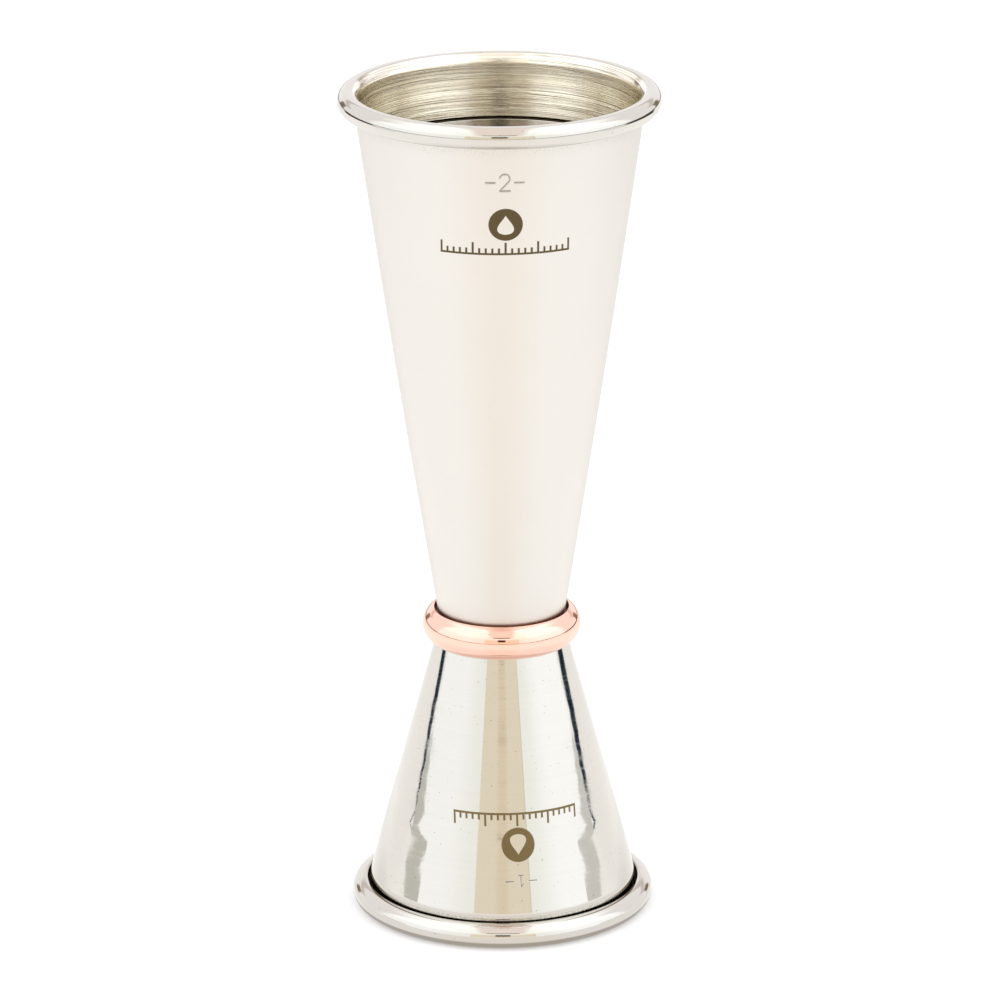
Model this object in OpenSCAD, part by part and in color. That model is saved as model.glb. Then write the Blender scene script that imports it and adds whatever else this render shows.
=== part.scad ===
// Double-ended bar jigger: two drawn cups joined floor to floor, with a rolled ring round the waist.
// Millimetres, +Z up. The origin is on the axis, in the plane that the lower rim stands on.

/* [Overall] */
// Height over both rims
overall_h = 127; // [122:0.5:132]
// Height of the waist, where the two floors face each other
waist_z = 44.3; // [42:0.1:47]
// Thickness of the drawn sheet
wall = 0.7; // [0.6:0.05:0.8]
// Outside radius of the bend between a floor and its cone
corner_r = 1.6; // [1.2:0.1:2]
// Gap between a rolled rim's free edge and the wall
curl_gap = 0.6; // [0.3:0.05:0.8]
// Width of the flat land pressed on each rim
land_w = 0.8; // [0.5:0.1:1]

/* [Large cup] */
// Outside diameter over the rolled rim
large_rim_d = 47.9; // [46:0.1:50]
// Outside diameter of the cone at the waist
large_waist_d = 18.5; // [17.5:0.1:19]
// Diameter of the rim's bead
large_bead_d = 3.36; // [3.2:0.02:3.8]
// Outside diameter of the short straight neck between the cone and the bead
large_neck_d = 42.6; // [42:0.1:43]
// Height from the start of the neck to the bead's centre
large_neck_h = 2; // [1.5:0.1:5]
// Outward crown of the cone's wall at half height
large_crown = 0.2; // [0:0.05:0.4]
// Depth of the fill line below the brim
fill_line_depth = 9.6; // [8:0.1:14]
// Radius of the fill line's groove
fill_line_r = 0.16; // [0.1:0.02:0.24]

/* [Small cup] */
// Outside diameter over the rolled rim
small_rim_d = 45.5; // [44:0.1:48]
// Outside diameter of the cone at the waist
small_waist_d = 18.8; // [18:0.1:19.2]
// Diameter of the rim's bead
small_bead_d = 3.76; // [3.4:0.02:4]
// Outside diameter of the short straight neck between the cone and the bead
small_neck_d = 40.1; // [39.6:0.1:40.4]
// Height from the start of the neck to the bead's centre
small_neck_h = 2.9; // [1.5:0.1:5]
// Outward crown of the cone's wall at half height
small_crown = 0; // [0:0.05:0.3]

/* [Waist ring] */
// Outside diameter of the ring
ring_d = 23.8; // [23.4:0.1:25]
// Diameter of the ring's rolled section
ring_section_d = 5.7; // [5.4:0.1:6.2]
// Thickness of the ring's sheet
ring_sheet = 0.5; // [0.4:0.05:0.6]
// Gap between the ring's upper lip and the large cup
ring_lip_gap = 0.4; // [0.2:0.05:0.5]

/* [Joining] */
// Gap that the weld nuggets fill between the two floors
floor_gap = 0.2; // [0.1:0.05:0.3]
// Number of weld nuggets
nugget_count = 3; // [2:1:5]
// Diameter of a weld nugget
nugget_d = 2.8; // [2:0.1:3.2]
// Radius of the circle that the nuggets stand on
nugget_pitch_r = 4.2; // [3.8:0.1:5]
// Height of the bond that fills the ring from inside
bond_h = 2.4; // [1.6:0.1:3]

/* [Hidden] */
$fn = 144;

// Each cup is [depth, waist radius, rim radius, bead radius, neck radius, neck length, crown]
LARGE = [overall_h - waist_z - floor_gap / 2, large_waist_d / 2, large_rim_d / 2,
         large_bead_d / 2, large_neck_d / 2, large_neck_h, large_crown];
SMALL = [waist_z - floor_gap / 2, small_waist_d / 2, small_rim_d / 2,
         small_bead_d / 2, small_neck_d / 2, small_neck_h, small_crown];

function depth(cup) = cup[0];
function waist_r(cup) = cup[1];
function rim_r(cup) = cup[2];
function bead_r(cup) = cup[3];
function neck_r(cup) = cup[4];
function neck_h(cup) = cup[5];
function crown(cup) = cup[6];

// Depth that the flat land takes off the top of a bead
function land_cut(cup) = bead_r(cup) - sqrt(pow(bead_r(cup), 2) - pow(land_w / 2, 2));
// Centre of the bead, and height where the neck begins
function bead_x(cup) = rim_r(cup) - bead_r(cup);
function bead_z(cup) = depth(cup) + land_cut(cup) - bead_r(cup);
function neck_z(cup) = bead_z(cup) - neck_h(cup);
// Radius of the tighter bend that leads from the neck into the bead, and its centre's height
function root_r(cup) = bead_x(cup) - neck_r(cup) + wall;
function root_z(cup) = bead_z(cup) + bead_r(cup) - root_r(cup);
// Angle of the cone's wall from the axis
function lean(cup) = atan2(neck_r(cup) - waist_r(cup), neck_z(cup));
// Radius of the bend's centre at the floor, so that the bend runs smoothly into the cone
function bend_x(cup) = waist_r(cup) + corner_r * (1 - sin(lean(cup))) * tan(lean(cup))
                       - corner_r * cos(lean(cup));

function direction(angle) = [cos(angle), sin(angle)];

// Radius and centre of the ring's rolled section
ring_r = ring_section_d / 2;
ring_x = ring_d / 2 - ring_r;
// Angle above the ring's widest point at which the upper lip stops, clear of the large cup
upper_lip = acos((waist_r(LARGE) + ring_lip_gap - ring_x) * cos(lean(LARGE)) / ring_r) - lean(LARGE);
// Angle below it that takes the lower lip into the small cup, whose face then trims it to a seat
lower_lip = 78;
// How far the bond reaches in between the floors' bends
bond_bite = 0.8;

// Number of flats in a floor bend, and in a crowned wall
bend_steps = 8;
crown_steps = 12;

// Path of a cup's sheet from the axis to the bead, as pairs of [point on the outer face, step to the inner face].
// The floor lies at height zero and the mouth is up. A crown bows the cone outwards by a half sine.
function sheet_path(cup) =
    let (
        a = lean(cup),
        out = direction(-a),
        foot = [bend_x(cup), corner_r],
        start = foot + corner_r * out,
        end = [neck_r(cup), neck_z(cup)],
        walls = crown(cup) > 0 ? crown_steps : 1
    )
    concat(
        [[[0, 0], [0, wall]]],
        [for (i = [0:bend_steps]) let (n = direction(-90 + (90 - a) * i / bend_steps))
            [foot + corner_r * n, -wall * n]],
        [for (i = [1:1:walls - 1])
            [start + (end - start) * i / walls + out * crown(cup) * sin(180 * i / walls), -wall * out]],
        [[end, wall * [-1, tan(a / 2)]],
         [[neck_r(cup), root_z(cup)], [-wall, 0]]]);

// Arc of sheet about the origin: outside radius r, between two angles
module bend(r, thickness, from, to) {
    intersection() {
        difference() {
            circle(r = r);
            circle(r = r - thickness);
        }
        polygon([[0, 0], for (i = [0:4]) 2 * r * direction(from + (to - from) * i / 4)]);
    }
}

// Section of a cup: floor, cone and neck, then the bead rolled outwards with a flat land on top
module cup_section(cup) {
    path = sheet_path(cup);
    curl_end = asin((bead_x(cup) - neck_r(cup) - curl_gap) / bead_r(cup));
    polygon(concat(
        [for (p = path) p[0]],
        [for (i = [len(path) - 1:-1:0]) path[i][0] + path[i][1]]));
    intersection() {
        union() {
            translate([bead_x(cup), root_z(cup)])
                bend(root_r(cup), wall, 90, 180);
            translate([bead_x(cup), bead_z(cup)])
                bend(bead_r(cup), wall, -90 - curl_end, 90);
        }
        square([rim_r(cup) + 1, depth(cup)]);
    }
}

// Everything inside both cups' outer faces, with the waist at height zero
module waist_outlines() {
    translate([0, floor_gap / 2]) cup_outline(LARGE);
    translate([0, -floor_gap / 2]) mirror([0, 1]) cup_outline(SMALL);
}

module cup_outline(cup) {
    polygon(concat([for (p = sheet_path(cup)) p[0]], [[0, root_z(cup)]]));
}

module large_cup() {
    line_z = depth(LARGE) - fill_line_depth;
    line_x = waist_r(LARGE) + line_z * tan(lean(LARGE)) - wall / cos(lean(LARGE));
    color([0.93, 0.91, 0.87])
    translate([0, 0, waist_z + floor_gap / 2])
    rotate_extrude()
    difference() {
        cup_section(LARGE);
        translate([line_x, line_z]) circle(r = fill_line_r);
    }
}

module small_cup() {
    color([0.85, 0.86, 0.84])
    translate([0, 0, waist_z - floor_gap / 2])
    mirror([0, 0, 1])
    rotate_extrude()
    cup_section(SMALL);
}

module waist_ring() {
    color([0.95, 0.72, 0.60])
    translate([0, 0, waist_z])
    rotate_extrude()
    difference() {
        translate([ring_x, 0]) bend(ring_r, ring_sheet, -lower_lip, upper_lip);
        waist_outlines();
    }
}

module weld_nuggets() {
    color([0.60, 0.60, 0.62])
    translate([0, 0, waist_z])
    for (i = [0:nugget_count - 1])
        rotate(360 * i / nugget_count)
            translate([nugget_pitch_r, 0])
                cylinder(d = nugget_d, h = floor_gap, center = true);
}

module ring_bond() {
    inner_x = waist_r(LARGE) - bond_bite;
    color([0.75, 0.74, 0.70])
    translate([0, 0, waist_z])
    rotate_extrude()
    difference() {
        intersection() {
            translate([ring_x, 0]) circle(r = ring_r - ring_sheet);
            translate([inner_x, -bond_h / 2]) square([ring_d, bond_h]);
        }
        waist_outlines();
    }
}

large_cup();
small_cup();
waist_ring();
weld_nuggets();
ring_bond();
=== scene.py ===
"""Looks of a double-ended bar jigger: two drawn steel cups, floor to floor, with a copper ring between.

Sections are drawn in millimetres in the (radius, height) plane, turned about the axis and scaled to metres.
An azimuth is measured from the front, which faces -Y, towards +X.
"""

from math import acos, asin, atan2, ceil, cos, degrees, radians, sin, sqrt, tan

import bpy
import numpy as np
from mathutils import Matrix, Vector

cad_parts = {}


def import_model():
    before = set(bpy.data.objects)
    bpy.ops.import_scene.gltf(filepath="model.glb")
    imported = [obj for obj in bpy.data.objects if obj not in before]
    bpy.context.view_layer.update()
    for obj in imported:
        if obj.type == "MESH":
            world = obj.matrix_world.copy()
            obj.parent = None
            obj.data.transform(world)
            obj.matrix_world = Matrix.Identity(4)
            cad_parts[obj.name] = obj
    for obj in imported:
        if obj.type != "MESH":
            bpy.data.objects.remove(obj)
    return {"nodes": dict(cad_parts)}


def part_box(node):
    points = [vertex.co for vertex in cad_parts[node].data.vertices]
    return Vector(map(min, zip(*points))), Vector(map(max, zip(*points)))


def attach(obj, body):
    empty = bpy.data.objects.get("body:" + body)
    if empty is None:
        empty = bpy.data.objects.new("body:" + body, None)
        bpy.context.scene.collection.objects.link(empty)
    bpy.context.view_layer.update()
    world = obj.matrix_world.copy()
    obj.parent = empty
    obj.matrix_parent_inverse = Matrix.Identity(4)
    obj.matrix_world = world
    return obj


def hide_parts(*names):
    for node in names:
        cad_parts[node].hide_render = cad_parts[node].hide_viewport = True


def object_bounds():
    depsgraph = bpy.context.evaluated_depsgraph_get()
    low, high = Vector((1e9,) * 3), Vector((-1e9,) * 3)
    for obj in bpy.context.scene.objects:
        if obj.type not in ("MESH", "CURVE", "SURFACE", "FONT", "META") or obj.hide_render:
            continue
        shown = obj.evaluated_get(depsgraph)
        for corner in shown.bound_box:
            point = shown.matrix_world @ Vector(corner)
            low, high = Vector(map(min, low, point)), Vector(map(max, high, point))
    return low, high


MM = 0.001

# Sheet, bends and deburred edges, in mm
WALL = 0.7
CORNER_R = 1.6
EDGE_R = 0.12
CURL_GAP = 0.42
LAND_W = 0.8
LAND_BLEND = 0.03

# The two cups: waist, rolled bead and neck under it, and how far the cone bows out, in mm
LARGE_CUP = dict(waist_d=18.5, bead_d=3.36, neck_d=42.6, neck_h=2.0, neck_bend_r=25.0, crown=0.2)
SMALL_CUP = dict(waist_d=18.8, bead_d=3.76, neck_d=40.1, neck_h=2.9, neck_bend_r=3.0, crown=0.0)

# Waist ring, in mm
RING_SECTION_D = 5.7
RING_SHEET = 0.5
RING_LIP_GAP = 0.5

# Fill line inside the large cup, in mm
FILL_LINE_DEPTH = 9.6
FILL_LINE_W = 0.3
FILL_LINE_CUT = 0.16

# Angle on a rim's root, in degrees, where the brushing inside gives way to the polished bead
BRUSH_END = 115

# How far under the ring's top the painted reflection and shade of the copper ring on the large cup starts, in
# mm
RING_REFLECTION_DEPTH = 0.4

# Weld marks on the floors, in mm
WELD_COUNT = 3
WELD_PITCH_R = 4.2
WELD_MARK_R = 1.7
WELD_MARK_CUT = 0.06

# Mesh: spacing in mm along a section and at a stamp, in degrees round a cup, and columns in the ring
COARSE = 1.1
ROUND = 0.16
EDGE_STEP = 0.05
STAMP_STEP = 0.05
COLUMN_STEP = 1.8
RING_COLUMNS = 240

# Reflections followed inside the cups before a path goes black
GLOSSY_BOUNCES = 12

# Reflectances of the metals
STEEL = (0.63, 0.61, 0.575)
SATIN = (0.745, 0.72, 0.685)
KHAKI_STEEL = (0.87, 0.835, 0.755)
SCRATCH = (0.30, 0.25, 0.14)
COPPER = (0.96, 0.60, 0.50)
RAW_STEEL = (0.16, 0.145, 0.125)
RAW_COPPER = (0.34, 0.13, 0.05)
# Painted reflection and shade of the copper ring on the large cup's cone
RING_REFLECTION_SHADE = (0.52, 0.17, 0.05)
ETCH = (0.115, 0.080, 0.030)
# Dirt in pin pits, and painted shade in recesses and creases
STAIN_AND_SHADE = (0.17, 0.14, 0.08)
# Painted shade in the groove and dents inside a cup
INSIDE_RECESS_SHADE = (0.025, 0.018, 0.008)
COPPER_SPECK = (0.35, 0.17, 0.10)
WELD_GREY = (0.42, 0.40, 0.38)
WELD_STRAW = (0.45, 0.33, 0.20)
BOND_DARK = (0.42, 0.41, 0.38)
BOND_LIGHT = (0.56, 0.55, 0.51)


# ---------------------------------------------------------------- sections


def direction(angle):
    """Unit vector at an angle in degrees from the radius axis."""
    return np.array([cos(radians(angle)), sin(radians(angle))])


class Outline:
    """Section of a turned piece, with the metal on the left of the way it runs."""

    def __init__(self, start):
        self.points = [np.array(start, float)]
        self.normals = [None]
        self.zones = []

    def _extend(self, points, normals, zone):
        first = normals[0] if self.normals[-1] is None else self.normals[-1] + normals[0]
        self.normals[-1] = first / np.linalg.norm(first)
        self.points += list(points[1:])
        self.normals += list(normals[1:])
        self.zones += [zone] * (len(points) - 1)

    def line(self, end, zone, step=COARSE, bow=0.0, fine=None):
        """Straight stretch, bowed out by a half sine. Fine is (height, height, step) of a denser part."""
        start = self.points[-1]
        span = np.array(end, float) - start
        length = np.linalg.norm(span)
        marks = [0.0, 1.0]
        steps = [step]
        if fine:
            low, high = sorted((height - start[1]) / span[1] for height in fine[:2])
            marks = [0.0, low, high, 1.0]
            steps = [step, fine[2], step]
        counts = [ceil((b - a) * length / size) for a, b, size in zip(marks, marks[1:], steps)]
        parts = [np.linspace(a, b, n + 1)[:-1] for a, b, n in zip(marks, marks[1:], counts)]
        share = np.concatenate([*parts, [1.0]])
        side = np.array([span[1], -span[0]]) / length
        points = start + share[:, None] * span + (bow * np.sin(np.pi * share))[:, None] * side
        tilt = bow * np.pi / length * np.cos(np.pi * share)
        normals = side - tilt[:, None] * span / length
        self._extend(points, normals / np.linalg.norm(normals, axis=1)[:, None], zone)

    def arc(self, centre, radius, start, end, zone, step=ROUND):
        """Arc between two angles in degrees. It faces outwards if they rise and inwards if they fall."""
        first = np.array(centre) + radius * direction(start)
        if np.linalg.norm(first - self.points[-1]) > 1e-6:
            self.line(first, zone)
        count = max(2, ceil(abs(radians(end - start)) * radius / step))
        spokes = np.array([direction(angle) for angle in np.linspace(start, end, count + 1)])
        face = 1 if end > start else -1
        self._extend(np.array(centre) + radius * spokes, face * spokes, zone)

    def hem(self, centre, from_r, to_r, start, tip, zones, step):
        """Arc of one face of a sheet and round its edge. Returns the angle where the other face starts."""
        back = 1 if from_r < to_r else -1
        base = 180 if from_r < to_r else 0
        radii = (from_r + EDGE_R * back, to_r - EDGE_R * back)
        first, last = (tip + back * degrees(EDGE_R / radius) for radius in radii)
        self.arc(centre, from_r, start, first, zones[0], step)
        middle = tip + base + 90
        self.arc(centre + radii[0] * direction(first), EDGE_R, first + base, middle, zones[0], EDGE_STEP)
        self.arc(centre + radii[1] * direction(last), EDGE_R, middle, last + base + 180, zones[1], EDGE_STEP)
        return last


class Cup:
    """Sizes of one cup in mm. Heights run from the floor's outer face towards the mouth."""

    def __init__(self, node, mouth_up, waist_d, bead_d, neck_d, neck_h, neck_bend_r, crown):
        low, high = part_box(node)
        self.mouth_up = mouth_up
        self.floor_z = (low.z if mouth_up else high.z) / MM
        self.depth = (high.z - low.z) / MM
        self.rim_r = min(high.x, high.y, -low.x, -low.y) / MM
        self.waist_r = waist_d / 2
        self.bead_r = bead_d / 2
        self.neck_r = neck_d / 2
        self.neck_bend_r = neck_bend_r
        self.crown = crown
        land_cut = self.bead_r - sqrt(self.bead_r ** 2 - (LAND_W / 2) ** 2)
        self.bead = np.array([self.rim_r - self.bead_r, self.depth + land_cut - self.bead_r])
        self.root_r = self.bead[0] - self.neck_r + WALL
        self.root = self.bead + [0, self.bead_r - self.root_r]
        neck_z = self.bead[1] - neck_h
        self.lean = degrees(atan2(self.neck_r - self.waist_r, neck_z))
        slope = tan(radians(self.lean))
        foot = self.waist_r + CORNER_R * ((1 - sin(radians(self.lean))) * slope - cos(radians(self.lean)))
        self.foot = np.array([foot, CORNER_R])
        self.neck = np.array([self.neck_r - neck_bend_r, neck_z + neck_bend_r * tan(radians(self.lean / 2))])

    def local(self, world_z):
        """Height above this cup's floor of a height in the frame."""
        return (world_z - self.floor_z) * (1 if self.mouth_up else -1)

    def world(self, height):
        """Height in the frame of a height above this cup's floor."""
        return self.floor_z + height * (1 if self.mouth_up else -1)

    def from_mouth(self, distance):
        """Height in the frame of a place this far from the cup's mouth."""
        return self.world(self.depth - distance)


def cup_outline(cup, stamp, line_z):
    """Section of a cup from the middle of its floor, up the outside, over the rolled rim and back inside."""
    tip = -90 - degrees(asin((cup.bead[0] - cup.neck_r - CURL_GAP) / cup.bead_r))
    stamp_z = cup.local(stamp.z)
    reach = stamp.height / 2 + 2 * STAMP_STEP
    path = Outline((0, 0))
    path.line(cup.foot - [0, CORNER_R], "underside", step=0.7)
    path.arc(cup.foot, CORNER_R, -90, -cup.lean, "outside")
    cone_end = cup.neck + cup.neck_bend_r * direction(-cup.lean)
    path.line(cone_end, "outside", bow=cup.crown, fine=(stamp_z - reach, stamp_z + reach, STAMP_STEP))
    path.arc(cup.neck, cup.neck_bend_r, -cup.lean, 0, "outside")
    path.line((cup.neck_r, cup.root[1]), "outside", step=0.4)
    path.arc(cup.root, cup.root_r - WALL, 180, 90, "curl", step=0.3)
    outer = path.hem(cup.bead, cup.bead_r - WALL, cup.bead_r, 90, tip, ("curl", "bead"), 0.3)
    path.arc(cup.bead, cup.bead_r, outer, 90, "bead")
    path.arc(cup.root, cup.root_r, 90, BRUSH_END, "bead")
    path.arc(cup.root, cup.root_r, BRUSH_END, 180, "inside")
    path.line((cup.neck_r - WALL, cup.neck[1]), "inside", step=0.5)
    path.arc(cup.neck, cup.neck_bend_r - WALL, 0, -cup.lean, "inside")
    fine = (line_z - FILL_LINE_W, line_z + FILL_LINE_W, FILL_LINE_W / 5) if line_z else None
    path.line(cup.foot + (CORNER_R - WALL) * direction(-cup.lean), "inside", bow=-cup.crown, fine=fine)
    path.arc(cup.foot, CORNER_R - WALL, -cup.lean, -90, "inside")
    path.line((0, WALL), "floor", step=0.3)
    press_land(path, cup.depth)
    return path


def press_land(path, top):
    """Presses a flat land with softened edges into everything higher than top."""
    for i, (point, normal) in enumerate(zip(path.points, path.normals)):
        gap = point[1] - top
        blend = min(max(0.5 + gap / LAND_BLEND / 2, 0), 1)
        soft = LAND_BLEND * blend * (1 - blend)
        path.points[i] = np.array([point[0], min(point[1], top) - soft if gap > -LAND_BLEND else point[1]])
        if normal[1] > 0:
            flat = normal * (1 - blend) + np.array([0, 1]) * blend
            path.normals[i] = flat / np.linalg.norm(flat)


def ring_outline(large, small, low, high):
    """Closed section of the waist ring: a rolled arc on the small cup that stops short of the large one."""
    section_r = RING_SECTION_D / 2
    inner_r = section_r - RING_SHEET
    waist_z = (large.floor_z + small.floor_z) / 2
    ring_r = min(high.x, high.y, -low.x, -low.y) / MM
    centre = np.array([ring_r - section_r, waist_z])
    lean = radians(large.lean)
    top = degrees(acos((large.waist_r + RING_LIP_GAP - centre[0]) * cos(lean) / section_r)) - large.lean
    lean = radians(small.lean)
    offset = (centre[0] - small.waist_r) * cos(lean) + (waist_z - small.floor_z) * sin(lean)
    bottom = small.lean - degrees(acos((EDGE_R - offset) / (inner_r + EDGE_R)))
    first = bottom + degrees(EDGE_R / (section_r - EDGE_R))
    path = Outline(centre + section_r * direction(first))
    inner = path.hem(centre, section_r, inner_r, first, top, ("ring", "hollow"), 0.12)
    path.hem(centre, inner_r, section_r, inner, bottom, ("hollow", "ring"), 0.3)
    return path


# ---------------------------------------------------------------- stamps, dimples and spinning marks


def ellipse(centre, half, start, end, steps=14):
    """Points on an ellipse between two angles in degrees."""
    angles = np.linspace(start, end, steps + 1)
    return [tuple(np.array(centre) + np.array(half) * direction(angle)) for angle in angles]


# Plain stroke figures in a unit box
FIGURES = {
    "one": [[(0.10, 0.72), (0.60, 1.0), (0.60, 0.0)], [(0.20, 0.0), (1.0, 0.0)]],
    "two": [ellipse((0.5, 0.72), (0.48, 0.28), 165, -35) + [(0.02, 0.0), (1.0, 0.0)]],
    "dash": [[(0.0, 0.5), (1.0, 0.5)]],
}


class Stamp:
    """A capacity mark punched into a cup. Each figure is (name, left, bottom, width, height) in mm."""

    def __init__(self, z, azimuth, turned, half_stroke, cut, figures):
        self.z = z
        self.azimuth = radians(azimuth)
        self.sign = -1 if turned else 1
        self.half_stroke = half_stroke
        self.cut = cut
        self.height = max(f[2] + f[4] for f in figures) - min(f[2] for f in figures) + 2 * half_stroke
        self.width = max(f[1] + f[3] for f in figures) - min(f[1] for f in figures) + 2 * half_stroke
        self.strokes = [
            [(left + u * width, bottom + v * height) for u, v in stroke]
            for name, left, bottom, width, height in figures
            for stroke in FIGURES[name]
        ]

    def depth(self, azimuth, radius, z):
        """How far the punch drives the surface in at points on the cup."""
        u = self.sign * radius * (azimuth - self.azimuth)
        v = self.sign * (z - self.z)
        away = np.full(u.shape, np.inf)
        for stroke in self.strokes:
            for (u0, v0), (u1, v1) in zip(stroke, stroke[1:]):
                du, dv = u1 - u0, v1 - v0
                t = np.clip(((u - u0) * du + (v - v0) * dv) / (du * du + dv * dv), 0, 1)
                away = np.minimum(away, np.hypot(u - u0 - t * du, v - v0 - t * dv))
        near = np.clip(1 - away / self.half_stroke, 0, 1)
        return self.cut * near * near * (3 - 2 * near)


def weld_marks(azimuth, radius, z):
    """Shallow round dents that the welding tips leave on a floor."""
    depth = np.zeros(azimuth.shape)
    for i in range(WELD_COUNT):
        turn = radians(90 + 360 * i / WELD_COUNT)
        across = radius * np.sin(azimuth) - WELD_PITCH_R * sin(turn)
        along = radius * np.cos(azimuth) - WELD_PITCH_R * cos(turn)
        away = np.hypot(across, along)
        near = np.clip(1 - away / WELD_MARK_R, 0, 1)
        depth += WELD_MARK_CUT * near * near * (3 - 2 * near)
    return depth


def spinning_rings(low, high, ridge_z):
    """Faint rings and a slight ridge that forming leaves on a polished cone, fading out at both ends."""

    def depth(azimuth, radius, z):
        fade = np.clip((z - low) / 3, 0, 1) * np.clip((high - z) / 4, 0, 1)
        wave = 0.0010 * np.sin(1.9 * z + 0.5 * np.sin(azimuth + 0.4)) + 0.0030 * np.sin(0.55 * z + 1.2)
        ridge = 0.030 * np.exp(-((z - ridge_z) / 1.5) ** 2) * (1 + 0.2 * np.cos(2 * azimuth + 0.6))
        crimp = 0.010 * (np.clip(z - high, 0, 4) / 3) ** 2
        return fade * (wave - ridge) + crimp

    return depth


def fill_line(height):
    """Groove round the inside at a height."""

    def depth(azimuth, radius, z):
        near = np.clip(1 - np.abs(z - height) / FILL_LINE_W, 0, 1)
        return FILL_LINE_CUT * near * near * (3 - 2 * near)

    return depth


# ---------------------------------------------------------------- turning a section into a mesh


def columns(centre, reach, step):
    """Azimuths all round, in radians, no more than step apart within reach of centre."""
    spans = ceil((2 * np.pi - 2 * reach) / radians(COLUMN_STEP))
    near = np.linspace(centre - reach, centre + reach, ceil(2 * reach / step) + 1)
    far = np.linspace(centre + reach, centre - reach + 2 * np.pi, spans + 1)
    return np.concatenate([near[:-1], far[:-1]])


def relief_cut(path, relief, ahead, around, radius, height, place, nudge=0.01):
    """Depth of the relief at each point, and its slopes along the section and round the axis."""
    cut = np.zeros(radius.shape)
    along = np.zeros(radius.shape)
    across = np.zeros(radius.shape)
    for zone, shape in relief.items():
        rows = sorted({j for i, z in enumerate(path.zones) if z == zone for j in (i, i + 1)})
        a, r, h = around[rows], radius[rows], height[rows]
        dr, dh = nudge * ahead[rows, :1], nudge * ahead[rows, 1:]
        turn = nudge / np.maximum(r, 1.0)
        cut[rows] += shape(a, r, place(h))
        along[rows] += (shape(a, r + dr, place(h + dh)) - shape(a, r - dr, place(h - dh))) / (2 * nudge)
        across[rows] += (shape(a + turn, r, place(h)) - shape(a - turn, r, place(h))) / (2 * nudge)
    return cut, along, across


def turned(name, path, azimuths, materials, relief, cup=None):
    """Mesh object of a section turned about the axis. Relief maps a zone to a function of its depth in mm."""
    section = np.array(path.points)
    face = np.array(path.normals)
    ahead = np.stack([-face[:, 1], face[:, 0]], axis=1)
    around, radius = np.meshgrid(azimuths, section[:, 0])
    height = np.repeat(section[:, 1:], len(azimuths), axis=1)
    place = cup.world if cup else (lambda z: z)
    flip = bool(cup) and not cup.mouth_up
    cut, along, across = relief_cut(path, relief, ahead, around, radius, height, place)
    out = np.stack([np.sin(around), -np.cos(around), np.zeros(around.shape)], axis=2)
    side = np.stack([np.cos(around), np.sin(around), np.zeros(around.shape)], axis=2)
    up = np.array([0.0, 0.0, -1.0 if flip else 1.0])

    def lift(pair):
        return pair[:, :1, None] * out + pair[:, 1:, None] * up

    normal = lift(face)
    centre = radius[:, :, None] * out + place(height)[:, :, None] * [0.0, 0.0, 1.0]
    points = centre - cut[:, :, None] * normal
    normal = normal + along[:, :, None] * lift(ahead) + across[:, :, None] * side
    return build(name, points * MM, normal, path.zones, cut, materials, flip)


def shared_index(points):
    """Vertex numbers of a grid of points, and which points are kept.

    A closed section meets itself in one row, and an open one starts and ends in one vertex on the axis.
    """
    rows, count = points.shape[:2]
    index = np.arange(rows * count).reshape(rows, count)
    keep = np.ones(rows * count, bool)
    closed = np.hypot(*points[0, 0, :2]) > 1e-7
    if closed:
        index[-1] = index[0]
        keep[(rows - 1) * count:] = False
    else:
        for row in (0, -1):
            keep[index[row, 1:]] = False
            index[row] = index[row, 0]
    return (np.cumsum(keep) - 1)[index], keep


def grid_faces(index, flip):
    """Faces between neighbouring rows, with triangles where a row is one vertex."""
    faces = []
    for low, high in zip(index, index[1:]):
        for quad in zip(low, np.roll(low, -1), np.roll(high, -1), high):
            loop = list(dict.fromkeys(int(i) for i in quad))
            faces.append(loop[::-1] if flip else loop)
    return faces


def build(name, points, normal, zones, cut, materials, flip):
    """Mesh object from a grid of points, with its normals and the depth of cut that the materials read."""
    index, keep = shared_index(points)
    names = sorted(materials)
    mesh = bpy.data.meshes.new(name)
    mesh.from_pydata(points.reshape(-1, 3)[keep].tolist(), [], grid_faces(index, flip))
    for zone in names:
        mesh.materials.append(materials[zone])
    slots = [names.index(zone) for zone in zones for _ in range(points.shape[1])]
    mesh.polygons.foreach_set("material_index", slots)
    mesh.shade_smooth()
    recess = mesh.attributes.new("recess", "FLOAT", "POINT")
    recess.data.foreach_set("value", cut.reshape(-1)[keep].astype(np.float32))
    normal = normal / np.linalg.norm(normal, axis=2)[:, :, None]
    mesh.normals_split_custom_set_from_vertices(normal.reshape(-1, 3)[keep].tolist())
    piece = bpy.data.objects.new(name, mesh)
    bpy.context.scene.collection.objects.link(piece)
    return piece


# ---------------------------------------------------------------- shader graphs


class Value:
    """A number in a shader graph, so that a pattern reads as a formula."""

    def __init__(self, graph, socket):
        self.graph = graph
        self.socket = socket

    def __add__(self, other):
        return self.graph.math("ADD", self, other)

    def __sub__(self, other):
        return self.graph.math("SUBTRACT", self, other)

    def __rsub__(self, other):
        return self.graph.math("SUBTRACT", other, self)

    def __mul__(self, other):
        return self.graph.math("MULTIPLY", self, other)

    def __truediv__(self, other):
        return self.graph.math("DIVIDE", self, other)

    def __abs__(self):
        return self.graph.math("ABSOLUTE", self)

    def __pow__(self, other):
        return self.graph.math("POWER", self, other)

    __radd__ = __add__
    __rmul__ = __mul__


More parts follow.
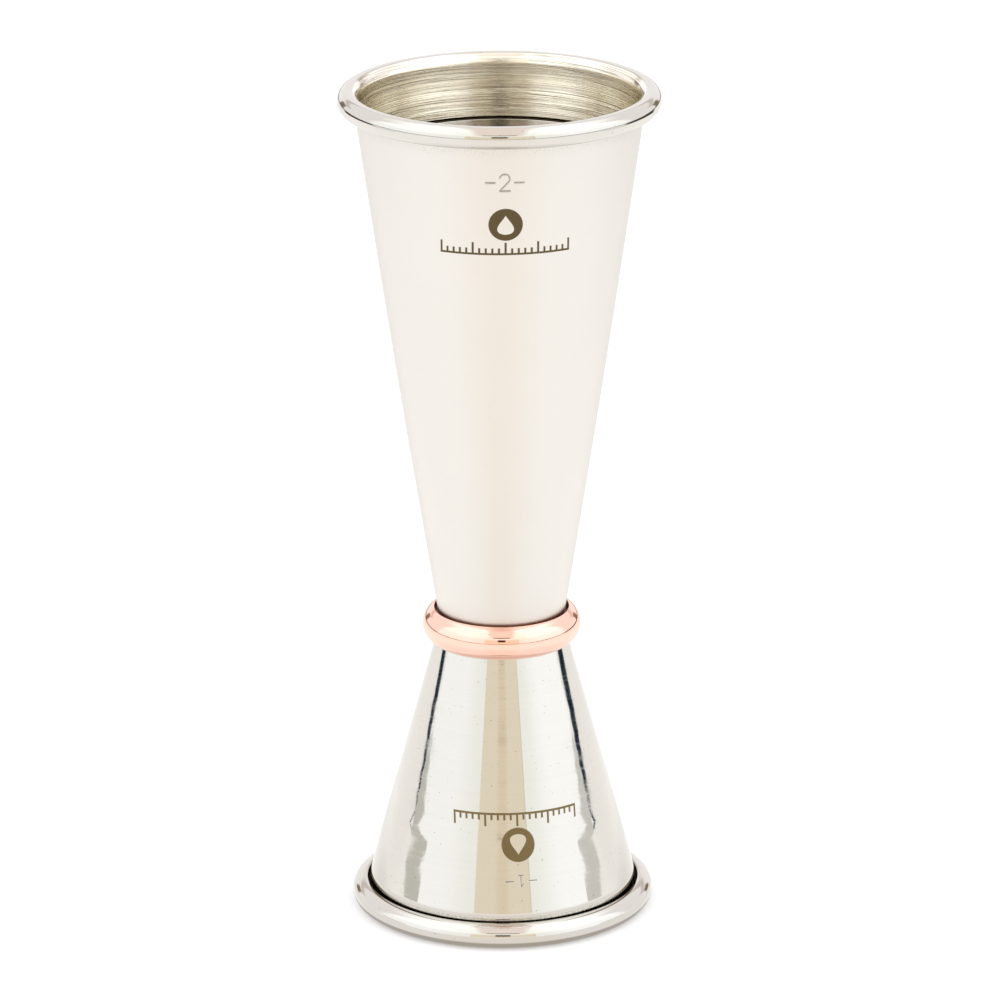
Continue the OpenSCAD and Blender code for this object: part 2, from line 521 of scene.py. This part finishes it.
class Graph:
    """Short spelling for the nodes of a material or world."""

    def __init__(self, tree):
        self.tree = tree
        tree.nodes.clear()

    def add(self, kind, inputs=None, **settings):
        """A shader node with its settings and inputs."""
        node = self.tree.nodes.new("ShaderNode" + kind)
        for key, value in settings.items():
            setattr(node, key, value)
        for key, value in (inputs or {}).items():
            self.feed(node.inputs[key], value)
        return node

    def feed(self, socket, value):
        """Links or sets one input."""
        if isinstance(value, Value):
            value = value.socket
        if isinstance(value, bpy.types.NodeSocket):
            self.tree.links.new(value, socket)
        elif isinstance(value, tuple) and len(value) == 3 and socket.type == "RGBA":
            socket.default_value = (*value, 1.0)
        else:
            socket.default_value = value

    def math(self, operation, *values):
        """Math node."""
        return Value(self, self.add("Math", dict(enumerate(values)), operation=operation).outputs[0])

    def rise(self, low, high, value):
        """0 below low and 1 above high, with a smooth step between."""
        inputs = {"Value": value, "From Min": low, "From Max": high}
        return Value(self, self.add("MapRange", inputs, interpolation_type="SMOOTHSTEP").outputs[0])

    def band(self, low, high, soft, value):
        """1 between low and high, with soft edges."""
        return self.rise(low - soft, low + soft, value) * (1 - self.rise(high - soft, high + soft, value))

    def noise(self, vector, scale, detail=2.0, roughness=0.5):
        """Noise from 0 to 1, about 0.5 on average."""
        inputs = {"Vector": vector, "Scale": scale, "Detail": detail, "Roughness": roughness}
        return Value(self, self.add("TexNoise", inputs).outputs[0])

    def vector(self, x, y, z):
        """Vector from three numbers."""
        return self.add("CombineXYZ", {"X": x, "Y": y, "Z": z}).outputs[0]

    def mix(self, factor, first, second):
        """Colour between two colours."""
        node = self.add("Mix", data_type="RGBA")
        self.feed(node.inputs[0], factor)
        self.feed(node.inputs[6], first)
        self.feed(node.inputs[7], second)
        return node.outputs[2]

    def scaled(self, color, factor):
        """Colour multiplied by a number."""
        grey = self.add("CombineColor", {"Red": factor, "Green": factor, "Blue": factor}).outputs[0]
        node = self.add("Mix", data_type="RGBA", blend_type="MULTIPLY")
        self.feed(node.inputs[0], 1.0)
        self.feed(node.inputs[6], color)
        self.feed(node.inputs[7], grey)
        return node.outputs[2]

    def bump(self, height, distance):
        """Normal of a height field; distance is in mm."""
        return self.add("Bump", {"Height": height, "Distance": distance * MM}).outputs[0]

    def show(self, shader, kind):
        """Makes a shader the output of the graph."""
        self.tree.links.new(shader.outputs[0], self.add(kind).inputs["Surface"])


class Metal(Graph):
    """Material of a turned metal part, with its coordinates in mm and its azimuth from the front."""

    def __init__(self, name):
        self.material = bpy.data.materials.new(name)
        self.material.use_nodes = True
        super().__init__(self.material.node_tree)
        position = self.add("TexCoord").outputs["Object"]
        parts = self.add("SeparateXYZ", {"Vector": position}).outputs
        self.x, self.y, self.z = (Value(self, part) / MM for part in parts)
        self.point = self.vector(self.x, self.y, self.z)
        self.radius = self.math("SQRT", self.x * self.x + self.y * self.y)
        self.azimuth = self.math("ARCTAN2", self.x, self.y * -1)
        self.recess = Value(self, self.add("Attribute", attribute_name="recess").outputs["Fac"])

    def rings(self, per_mm, drift=0.02, tilt=0.0):
        """Noise drawn out round the axis into fine turned lines, level or slightly tilted."""
        height = (self.z + self.x * tilt) * per_mm
        return self.noise(self.vector(self.x * drift, self.y * drift, height), 1.0, 3.0, 0.6)

    def grain(self):
        """Inputs that turn an anisotropic finish across lines running round the axis."""
        tangent = self.add("Tangent", direction_type="RADIAL", axis="Z").outputs[0]
        return {"Anisotropic_Rotation": 0.25, "Tangent": tangent}

    def finish(self, color, roughness, normal=None, metallic=1.0, **more):
        """Connects the surface and returns the material."""
        inputs = {"Base Color": color, "Roughness": roughness, "Metallic": metallic}
        if normal:
            inputs["Normal"] = normal
        inputs.update({key.replace("_", " "): value for key, value in more.items()})
        self.show(self.add("BsdfPrincipled", inputs), "OutputMaterial")
        return self.material


# ---------------------------------------------------------------- etched marks


class EtchedMark:
    """Place of a dark etched badge and measuring scale on a cup, in mm and degrees."""

    def __init__(self, badge_z, scale_z, azimuth, turned):
        self.badge_z = badge_z
        self.scale_z = scale_z
        self.azimuth = radians(azimuth)
        self.sign = -1 if turned else 1

    def mask(self, g):
        """1 on the etched parts and 0 elsewhere."""
        u = (g.azimuth - self.azimuth) * g.radius * self.sign
        badge = drop_badge(g, u, (g.z - self.badge_z) * self.sign)
        scale = tick_scale(g, u, (g.z - self.scale_z) * self.sign)
        return g.math("MAXIMUM", badge, scale)


def drop_badge(g, u, v, radius=2.5, drop_w=1.25, drop_h=1.55, soft=0.04):
    """Round badge with a bright drop, point up, left in the middle."""
    disc = 1 - g.rise(radius - soft, radius + soft, g.math("SQRT", u * u + v * v))
    y = g.math("MINIMUM", abs(v / drop_h), 1.0)
    tip_side = g.math("MAXIMUM", (1 - v / drop_h) / 2, 0.0)
    half = drop_w * 1.5 * g.math("SQRT", 1 - y * y) * tip_side ** 0.9
    drop = g.rise(0.0, 2 * soft, half - abs(u))
    return disc * (1 - drop)


def tick_scale(g, u, v, half_w=9.76, pitch=0.96, short=0.9, tall=1.8, half_line=0.16, soft=0.04):
    """Short measuring scale: a base line with ticks, every fifth one tall."""
    number = g.math("ROUND", u / pitch)
    away = abs(u - number * pitch)
    fifth = abs(number / 5 - g.math("ROUND", number / 5))
    top = short + (tall - short) * (1 - g.rise(0.05, 0.1, fifth))
    width = 1 - g.rise(half_w - soft, half_w + soft, abs(u))
    tick = (1 - g.rise(half_line - soft, half_line + soft, away)) * g.rise(-soft, soft, v)
    tick = tick * g.rise(-soft, soft, top - v)
    base = 1 - g.rise(half_line - soft, half_line + soft, abs(v))
    return g.math("MAXIMUM", tick, base) * width


# ---------------------------------------------------------------- materials


def satin_steel(mark, foot_z, mouth_z):
    """Fine blasted and lightly brushed steel, with the etched mark, a line of painted reflection and shade of
    the copper ring at its foot, and painted shade in its stamp and in the crease under the rim.
    """
    g = Metal("satin_steel")
    grain = g.noise(g.point, 3.2, 3.0, 0.65)
    cloud = g.noise(g.point, 0.09, 2.0, 0.5)
    brush = g.rings(5.0)
    handled = g.rise(0.55, 0.75, g.noise(g.point, 0.22, 4.0, 0.6))
    roughness = 0.40 + 0.05 * (cloud - 0.5) + 0.05 * (grain - 0.5) - 0.03 * handled
    tone = 0.985 + 0.05 * (cloud - 0.5) + 0.035 * (grain - 0.5) + 0.02 * (brush - 0.5)
    color = g.scaled(SATIN, tone)
    # Painted reflection and shade of the copper ring, on the cone just above the ring's top
    ring_reflection_shade = 1 - g.rise(foot_z, foot_z + 0.75, g.z + 0.3 * (cloud - 0.5))
    color = g.mix(ring_reflection_shade * 0.9, color, RING_REFLECTION_SHADE)
    # Painted shade: darker in the stamp's grooves, and speckled in the crease under the rolled rim
    under_rim = g.band(mouth_z - 4.7, mouth_z - 2.0, 0.7, g.z)
    crease_shade = g.rise(0.50, 0.70, g.noise(g.point, 3.0, 4.0, 0.75)) * under_rim
    painted_shade = g.math("MAXIMUM", g.rise(0.02, 0.10, g.recess) * 0.6, crease_shade * 0.22)
    color = g.mix(painted_shade, color, STAIN_AND_SHADE)
    etched = mark.mask(g)
    speckle = 0.85 + 0.3 * (g.noise(g.point, 6.0, 2.0) - 0.5)
    color = g.mix(etched, color, g.scaled(ETCH, speckle))
    normal = g.bump(0.6 * grain + 0.4 * brush, 0.004)
    roughness = roughness + 0.15 * etched
    return g.finish(color, roughness, normal, 1 - 0.55 * etched, Anisotropic=0.45, **g.grain())


def polished_steel(name, mark=None, lines=1.0, mouth_z=0.0):
    """Mirror-polished steel with faint turned lines, smears and pin pits, painted shade in recesses, and a
    speckled painted shade by the bead of a marked mouth.
    """
    g = Metal(name)
    turned_lines = g.rings(3.2)
    coarse_lines = g.rings(1.2)
    smear = g.rise(0.45, 0.75, g.noise(g.point, 0.28, 4.0, 0.6))
    pits = g.rise(0.69, 0.74, g.noise(g.point, 2.2, 3.0, 0.55))
    roughness = 0.035 + 0.05 * smear + 0.03 * g.rise(0.5, 0.7, turned_lines) * lines + 0.10 * pits
    tone = 1.0 - 0.04 * (coarse_lines - 0.5) - 0.03 * (turned_lines - 0.5)
    color = g.mix(pits * 0.6, g.scaled(STEEL, tone), STAIN_AND_SHADE)
    # Painted shade in recesses, and on a marked cup a speckled painted shade in the crease by the bead at its
    # mouth
    painted_shade = g.rise(0.012, 0.03, g.recess) * 0.8
    if mark:
        low = 1 - g.rise(mouth_z + 3.9, mouth_z + 5.2, g.z)
        crease_shade = g.rise(0.0, 0.12, g.noise(g.point, 3.2, 4.0, 0.7) - 0.80 + 0.40 * low) * low
        painted_shade = g.math("MAXIMUM", painted_shade, crease_shade * 0.35)
    color = g.mix(painted_shade, color, STAIN_AND_SHADE)
    normal = g.bump(turned_lines * lines + 0.5 * coarse_lines * lines - 0.5 * pits, 0.0005)
    metallic = 1.0
    if mark:
        etched = mark.mask(g)
        speckle = 0.85 + 0.3 * (g.noise(g.point, 6.0, 2.0) - 0.5)
        color = g.mix(etched, color, g.scaled(ETCH, speckle * 1.7))
        roughness = roughness + 0.45 * etched
        metallic = 1 - 0.5 * etched
    return g.finish(color, roughness, normal, metallic, Anisotropic=0.6, **g.grain())


def brushed_steel(name, line_z=None):
    """Inside of a cup, brushed in rings with deeper scratches, with painted shade in its fill line and weld
    dents. Below its fill line it is smooth.
    """
    g = Metal(name)
    fine = g.rise(0.30, 0.70, g.rings(4.6, 0.03))
    broad = g.rings(0.9, 0.02)
    dark = g.rise(0.56, 0.64, g.rings(5.2, 0.05, 0.02))
    light = g.rise(0.58, 0.66, g.rings(3.9, 0.04, -0.03))
    grain = g.noise(g.point, 5.0, 2.0, 0.6)
    brushed = g.rise(line_z - 0.1, line_z + 0.1, g.z) if line_z else 0.5
    streaks = 0.40 * (fine - 0.5) + 0.26 * (broad - 0.5) + 0.22 * light + 0.25 * (grain - 0.5)
    tone = 1.0 + streaks * brushed
    color = g.mix(brushed, g.scaled(STEEL, tone), g.scaled(KHAKI_STEEL, tone))
    color = g.mix(dark * brushed * 0.75, color, SCRATCH)
    # Painted shade in the fill line's groove and the weld dents
    painted_shade = g.rise(0.005, 0.03, g.recess)
    color = g.mix(painted_shade, color, INSIDE_RECESS_SHADE)
    roughness = 0.09 + 0.02 * (fine - 0.5)
    normal = g.bump((fine - 0.8 * dark + 0.5 * light) * brushed, 0.009)
    return g.finish(color, roughness, normal, Anisotropic=1.0, **g.grain())


def copper_plate():
    """Polished rose copper with specks and pin pits."""
    g = Metal("copper_plate")
    lines = g.rings(8.0)
    specks = g.rise(0.74, 0.79, g.noise(g.point, 1.9, 2.0, 0.5))
    cloud = g.noise(g.point, 0.35, 3.0, 0.6)
    tone = 1.0 + 0.05 * (cloud - 0.5)
    color = g.mix(specks * 0.8, g.scaled(COPPER, tone), COPPER_SPECK)
    roughness = 0.05 + 0.05 * g.rise(0.45, 0.75, cloud) + 0.15 * specks
    normal = g.bump(lines + 0.7 * cloud - 0.8 * specks, 0.0012)
    return g.finish(color, roughness, normal)


def raw_metal(name, color):
    """Unpolished face inside a fold: dull and stained."""
    g = Metal(name)
    cloud = g.noise(g.point, 0.8, 4.0, 0.6)
    return g.finish(g.scaled(color, 0.7 + 0.6 * cloud), 0.45 + 0.25 * cloud, g.bump(cloud, 0.02))


def weld_metal():
    """Bare weld nugget with heat tint and a coarse surface."""
    g = Metal("weld_metal")
    grain = g.noise(g.point, 2.5, 4.0, 0.6)
    tint = g.noise(g.point, 0.7, 2.0, 0.5)
    color = g.mix(g.rise(0.4, 0.6, tint), WELD_GREY, WELD_STRAW)
    return g.finish(color, 0.35 + 0.3 * grain, g.bump(grain, 0.05))


def cured_bond():
    """Grey cured adhesive, slightly lumpy."""
    g = Metal("cured_bond")
    lump = g.noise(g.point, 0.9, 3.0, 0.55)
    color = g.mix(lump, BOND_DARK, BOND_LIGHT)
    return g.finish(color, 0.5 + 0.2 * lump, g.bump(lump, 0.1), 0.0)


# ---------------------------------------------------------------- stage

# Directions are in degrees: azimuth and side from the front, elevation from the horizon.

# Light that the object reflects
SOFTBOX_LEFT = (1.43, 1.45, 1.46)
SOFTBOX_RIGHT = (1.50, 1.53, 1.55)
BETWEEN = (1.30, 1.33, 1.28)
FRONT_WALL = (1.13, 1.03, 0.83)
FRONT_WALL_MIDDLE = (1.0, 0.78, 0.50)
FRONT_WALL_CORNER = (0.35, 0.34, 0.30)
BACKDROP = (1.18, 1.14, 1.14)
CEILING = (1.22, 1.09, 1.00)
CAMERA_SHADE = (0.06, 0.05, 0.03)
BEYOND = (1.20, 1.18, 1.14)
DARK_EDGE = (0.10, 0.085, 0.065)
GAP = (0.012, 0.030, 0.048)
FRONT_GAP = (0.45, 0.38, 0.27)
DOORWAY = (0.30, 0.235, 0.165)

# The dim room behind the backdrop
ROOM = (0.34, 0.25, 0.14)
ROOM_RIM = (0.45, 0.36, 0.28)
ROOM_DOOR = (0.04, 0.025, 0.01)

# The table and what stands on it, in reflections
TABLE = (1.33, 1.31, 1.28)
TABLE_FRONT = (1.31, 1.24, 1.17)
TABLE_LEFT_M = 0.75
TABLE_RIGHT_M = 0.58
# Painted contact shadow round the object's foot on the table
CONTACT_SHADOW = (0.20, 0.16, 0.11)
CARD_LEFT = (0.77, 0.77, 0.71)
CARD_RIGHT = (0.87, 0.87, 0.83)

# White that the camera sees behind the object, and the floor's own colour
WHITE = (1.0, 1.0, 1.0)
WHITE_STRENGTH = 1.1
FLOOR = (0.90, 0.90, 0.92)
FLOOR_GLOW = 0.3


def softboxes(g, azimuth, side, elevation):
    """Two wide softboxes that meet over the front, brighter higher up."""
    softbox = g.mix(g.rise(-20, 20, azimuth), SOFTBOX_LEFT, SOFTBOX_RIGHT)
    color = g.mix(g.rise(24, 60, side), BETWEEN, softbox)
    wall = (1 - g.rise(24.0, 25.0, side)) * (1 - g.rise(16, 34, elevation))
    color = g.mix(wall, color, FRONT_WALL)
    color = g.mix((1 - g.rise(1.5, 8, side)) * wall * 0.38, color, FRONT_WALL_MIDDLE)
    color = g.mix(g.band(24.2, 26.0, 0.4, azimuth) * wall * 0.8, color, FRONT_WALL_CORNER)
    return g.scaled(color, 1 + 0.16 * g.rise(18, 34, elevation))


def backdrop(g, color, side, elevation):
    """White backdrop behind the object, with the dim room showing over its top edge."""
    color = g.mix(g.rise(98, 108, side) * (1 - g.rise(40, 60, elevation)), color, BACKDROP)
    over = elevation - 13 - 8 * g.rise(138, 176, side)
    return g.mix(g.band(1, 7, 2, over) * g.rise(134, 142, side) * 0.5, color, ROOM_RIM)


def room_behind(g, color, side, elevation, ray_depth):
    """Dim room that shows in a reflection of a reflection, which is what the far wall inside a cup sees."""
    second = g.band(2.5, 3.5, 0.3, ray_depth)
    color = g.scaled(color, 1 + 0.15 * second)
    room = second * g.band(-12, 62, 4, elevation)
    color = g.mix(room * g.rise(112, 140, side), color, ROOM)
    return g.mix(room * g.rise(161, 168, side), color, ROOM_DOOR)


def dark_things(g, color, side, elevation):
    """Doorway at the back, and the camera with the rail over it in front."""
    color = g.mix(g.band(141, 151, 2, side) * g.band(-9, 13, 2, elevation), color, DOORWAY)
    camera = (1 - g.rise(5.0, 6.5, side)) * g.band(11.65, 24, 0.05, elevation)
    rail = (1 - g.rise(12, 15, side)) * g.band(34, 38.5, 0.8, elevation)
    return g.mix(g.math("MAXIMUM", camera, rail), color, CAMERA_SHADE)


def below_table(g, color, side, elevation):
    """Floor beyond the table, and the dark gap between the table's edge and the backdrop."""
    far = g.mix(g.band(99, 138, 3, side), BEYOND, DARK_EDGE)
    color = g.mix(1 - g.rise(-3.8, -3.4, elevation), color, far)
    gap = g.mix(1 - g.rise(30, 45, side), GAP, FRONT_GAP)
    return g.mix(g.band(-3.6, -0.95, 0.15, elevation), color, gap)


def studio_light():
    """Soft studio all round that only the object sees; the camera sees plain white."""
    world = bpy.data.worlds.new("studio")
    bpy.context.scene.world = world
    world.use_nodes = True
    g = Graph(world.node_tree)
    parts = g.add("SeparateXYZ", {"Vector": g.add("TexCoord").outputs["Generated"]}).outputs
    x, y, z = (Value(g, part) for part in parts)
    azimuth = g.math("DEGREES", g.math("ARCTAN2", x, y * -1))
    side = abs(azimuth)
    elevation = g.math("DEGREES", g.math("ARCSINE", z))
    ray = g.add("LightPath").outputs
    color = softboxes(g, azimuth, side, elevation)
    strip = g.rise(-0.05, 0.05, 0.18 - 0.11 * y - abs(x)) * g.rise(28, 38, elevation)
    color = g.mix(strip, color, CEILING)
    color = backdrop(g, color, side, elevation)
    color = room_behind(g, color, side, elevation, ray["Ray Depth"])
    color = dark_things(g, color, side, elevation)
    color = below_table(g, color, side, elevation)
    seen = g.add("Background", {"Color": WHITE, "Strength": WHITE_STRENGTH})
    felt = g.add("Background", {"Color": color, "Strength": 1.0})
    both = g.add("MixShader", {0: ray["Is Camera Ray"], 1: felt.outputs[0], 2: seen.outputs[0]})
    g.show(both, "OutputWorld")


def reflected_table(g):
    """Shader of the floor as reflections show it: a white table that ends at its edges. Its light is painted:
    it glows, warmer at the front, with painted shade at the sides and back and near the object, and a painted
    contact shadow round the object's foot.
    """
    parts = g.add("SeparateXYZ", {"Vector": g.add("TexCoord").outputs["Object"]}).outputs
    x, y = (Value(g, part) for part in list(parts)[:2])
    away = g.math("SQRT", x * x + y * y)
    azimuth = g.math("DEGREES", g.math("ARCTAN2", x, y * -1))
    side = abs(azimuth)
    color = g.mix(g.rise(16, 34, side), TABLE_FRONT, TABLE)
    slant = Value(g, g.add("SeparateXYZ", {"Vector": g.add("NewGeometry").outputs["Incoming"]}).outputs[2])
    grazing = 1 - g.rise(0.12, 0.26, slant)
    # Painted shade: darker at the sides and back, more so at grazing angles, darker near the object, and a
    # painted contact shadow round its foot
    dim = 0.06 * g.rise(92, 108, side) * grazing + 0.16 * g.rise(125, 160, side)
    near = 0.14 * (1 - g.rise(0.040, 0.088, away))
    contact_shadow = 1 - g.rise(0.0229, 0.0238, away)
    color = g.scaled(color, 1 - dim - near)
    color = g.mix(contact_shadow * 0.6, color, CONTACT_SHADOW)
    table = g.add("Emission", {"Color": color, "Strength": 1.0})
    reach = TABLE_LEFT_M + (TABLE_RIGHT_M - TABLE_LEFT_M) * g.rise(-0.1, 0.1, x)
    beyond = g.rise(0.0, 0.004, away - reach)
    clear = g.add("BsdfTransparent")
    return g.add("MixShader", {0: beyond, 1: table.outputs[0], 2: clear.outputs[0]})


def floor_material():
    """Plain pale floor to the camera, and a table top to reflections."""
    material = bpy.data.materials.new("pale_floor")
    material.use_nodes = True
    g = Graph(material.node_tree)
    reflected = reflected_table(g)
    matt = g.add("BsdfDiffuse", {"Color": FLOOR})
    lit = g.add("Emission", {"Color": WHITE, "Strength": WHITE_STRENGTH})
    pale = g.add("MixShader", {0: FLOOR_GLOW, 1: matt.outputs[0], 2: lit.outputs[0]})
    glossy_ray = g.add("LightPath").outputs["Is Glossy Ray"]
    both = g.add("MixShader", {0: glossy_ray, 1: pale.outputs[0], 2: reflected.outputs[0]})
    g.show(both, "OutputMaterial")
    return material


def lay_floor(half=6.0):
    """Large flat floor at the height the object stands on."""
    mesh = bpy.data.meshes.new("floor")
    corners = [(-half, -half, 0), (half, -half, 0), (half, half, 0), (-half, half, 0)]
    mesh.from_pydata(corners, [], [(0, 1, 2, 3)])
    mesh.materials.append(floor_material())
    floor = bpy.data.objects.new("floor", mesh)
    bpy.context.scene.collection.objects.link(floor)


def stand_card(name, start, end, shade, distance=0.5, height=0.028):
    """Low grey card on the table between two azimuths in degrees, which only reflections show."""
    mesh = bpy.data.meshes.new(name)
    turns = [radians(azimuth) for azimuth in (start, (start + end) / 2, end)]
    feet = [(distance * sin(turn), -distance * cos(turn)) for turn in turns]
    points = [(x, y, z) for x, y in feet for z in (0, height)]
    mesh.from_pydata(points, [], [(0, 2, 3, 1), (2, 4, 5, 3)])
    material = bpy.data.materials.new(name)
    material.use_nodes = True
    g = Graph(material.node_tree)
    g.show(g.add("Emission", {"Color": shade, "Strength": 1.0}), "OutputMaterial")
    mesh.materials.append(material)
    card = bpy.data.objects.new(name, mesh)
    card.visible_camera = False
    card.visible_diffuse = False
    card.visible_shadow = False
    bpy.context.scene.collection.objects.link(card)


def place_camera(middle_z, away=0.9502, height=0.3728, lens=240.5, roll=-0.23, shift=-0.0011):
    """Long lens in front of the object, looking down at its middle."""
    data = bpy.data.cameras.new("camera")
    data.lens = lens
    data.sensor_width = 36
    data.shift_x = shift
    data.clip_start = 0.01
    data.clip_end = 50
    camera = bpy.data.objects.new("camera", data)
    camera.location = (0, -away, height)
    pitch = atan2(height - middle_z, away)
    turn = Matrix.Rotation(radians(90) - pitch, 3, "X") @ Matrix.Rotation(radians(roll), 3, "Z")
    camera.rotation_euler = turn.to_euler()
    bpy.context.scene.collection.objects.link(camera)
    bpy.context.scene.camera = camera


# ---------------------------------------------------------------- the object


def make_cup(name, cup, stamp, materials, relief, line_z=None):
    """A cup with its stamp punched into the outside."""
    path = cup_outline(cup, stamp, line_z)
    reach = stamp.width / 2 + 3 * STAMP_STEP
    local_r = cup.waist_r + cup.local(stamp.z) * tan(radians(cup.lean))
    azimuths = columns(stamp.azimuth, reach / local_r, STAMP_STEP / local_r)
    return turned(name, path, azimuths, materials, relief, cup)


def make_large_cup(cup):
    """Satin outside, polished rim, brushed inside with a fill line."""
    # Where the painted reflection and shade of the copper ring start on the cone
    foot_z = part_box("waist_ring")[1].z / MM - RING_REFLECTION_DEPTH
    line_z = cup.depth - FILL_LINE_DEPTH
    line_world = cup.world(line_z)
    dashes = [("dash", left, -0.2, 1.35, 0.4) for left in (-2.77, 1.42)]
    figures = [*dashes, ("two", -0.75, -1.27, 1.5, 2.6)]
    stamp = Stamp(cup.from_mouth(8.8), azimuth=2.0, turned=False, half_stroke=0.24, cut=0.12, figures=figures)
    mark = EtchedMark(badge_z=cup.from_mouth(15.3), scale_z=cup.from_mouth(19.9), azimuth=2.4, turned=False)
    raw = raw_metal("raw_steel", RAW_STEEL)
    inside = brushed_steel("brushed_inside", line_world)
    materials = {
        "underside": raw,
        "outside": satin_steel(mark, foot_z, cup.from_mouth(0)),
        "curl": raw,
        "bead": polished_steel("polished_rim"),
        "inside": inside,
        "floor": inside,
    }
    relief = {"outside": stamp.depth, "inside": fill_line(line_world), "floor": weld_marks}
    piece = make_cup("large_cup_shell", cup, stamp, materials, relief, line_z)
    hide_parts("large_cup")
    return piece


def make_small_cup(cup):
    """Mirror-polished outside with faint spinning rings, brushed inside."""
    dashes = [("dash", left, -0.2, 1.2, 0.4) for left in (-2.35, 1.15)]
    figures = [*dashes, ("one", -0.45, -0.85, 0.8, 1.7)]
    stamp = Stamp(cup.from_mouth(9.6), azimuth=8.5, turned=True, half_stroke=0.14, cut=0.05, figures=figures)
    mark = EtchedMark(badge_z=cup.from_mouth(14.9), scale_z=cup.from_mouth(19.4), azimuth=7.8, turned=True)
    raw = raw_metal("raw_steel_small", RAW_STEEL)
    inside = brushed_steel("brushed_inside_small")
    materials = {
        "underside": raw,
        "outside": polished_steel("polished_cone", mark, 1.3, cup.from_mouth(0)),
        "curl": raw,
        "bead": polished_steel("polished_rim_small"),
        "inside": inside,
        "floor": inside,
    }
    rings = spinning_rings(cup.from_mouth(5.0), cup.from_mouth(39.0), cup.from_mouth(14.6))

    def outside(azimuth, radius, z):
        return stamp.depth(azimuth, radius, z) + rings(azimuth, radius, z)

    relief = {"outside": outside, "floor": weld_marks}
    piece = make_cup("small_cup_shell", cup, stamp, materials, relief)
    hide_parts("small_cup")
    return piece


def make_ring(large, small):
    """Rolled copper ring round the waist."""
    low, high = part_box("waist_ring")
    path = ring_outline(large, small, low, high)
    azimuths = np.linspace(0, 2 * np.pi, RING_COLUMNS, endpoint=False)
    materials = {"ring": copper_plate(), "hollow": raw_metal("raw_copper", RAW_COPPER)}
    piece = turned("waist_ring_band", path, azimuths, materials, {})
    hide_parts("waist_ring")
    return piece


def dress_node(node, material):
    """Gives a CAD node that stays shown its material."""
    node.data.materials.clear()
    node.data.materials.append(material)


def main():
    """Builds the visual model, the stage and the camera."""
    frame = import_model()
    cad_low, cad_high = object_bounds()
    large = Cup("large_cup", mouth_up=True, **LARGE_CUP)
    small = Cup("small_cup", mouth_up=False, **SMALL_CUP)
    for piece in (make_large_cup(large), make_small_cup(small), make_ring(large, small)):
        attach(piece, "root")
    dress_node(frame["nodes"]["weld_nuggets"], weld_metal())
    dress_node(frame["nodes"]["ring_bond"], cured_bond())
    studio_light()
    lay_floor()
    stand_card("card_left", -99, -76, CARD_LEFT)
    stand_card("card_right", 76, 99, CARD_RIGHT)
    place_camera((cad_low.z + cad_high.z) / 2)
    bpy.context.scene.view_settings.view_transform = "Standard"
    bpy.context.scene.cycles.glossy_bounces = GLOSSY_BOUNCES


main()
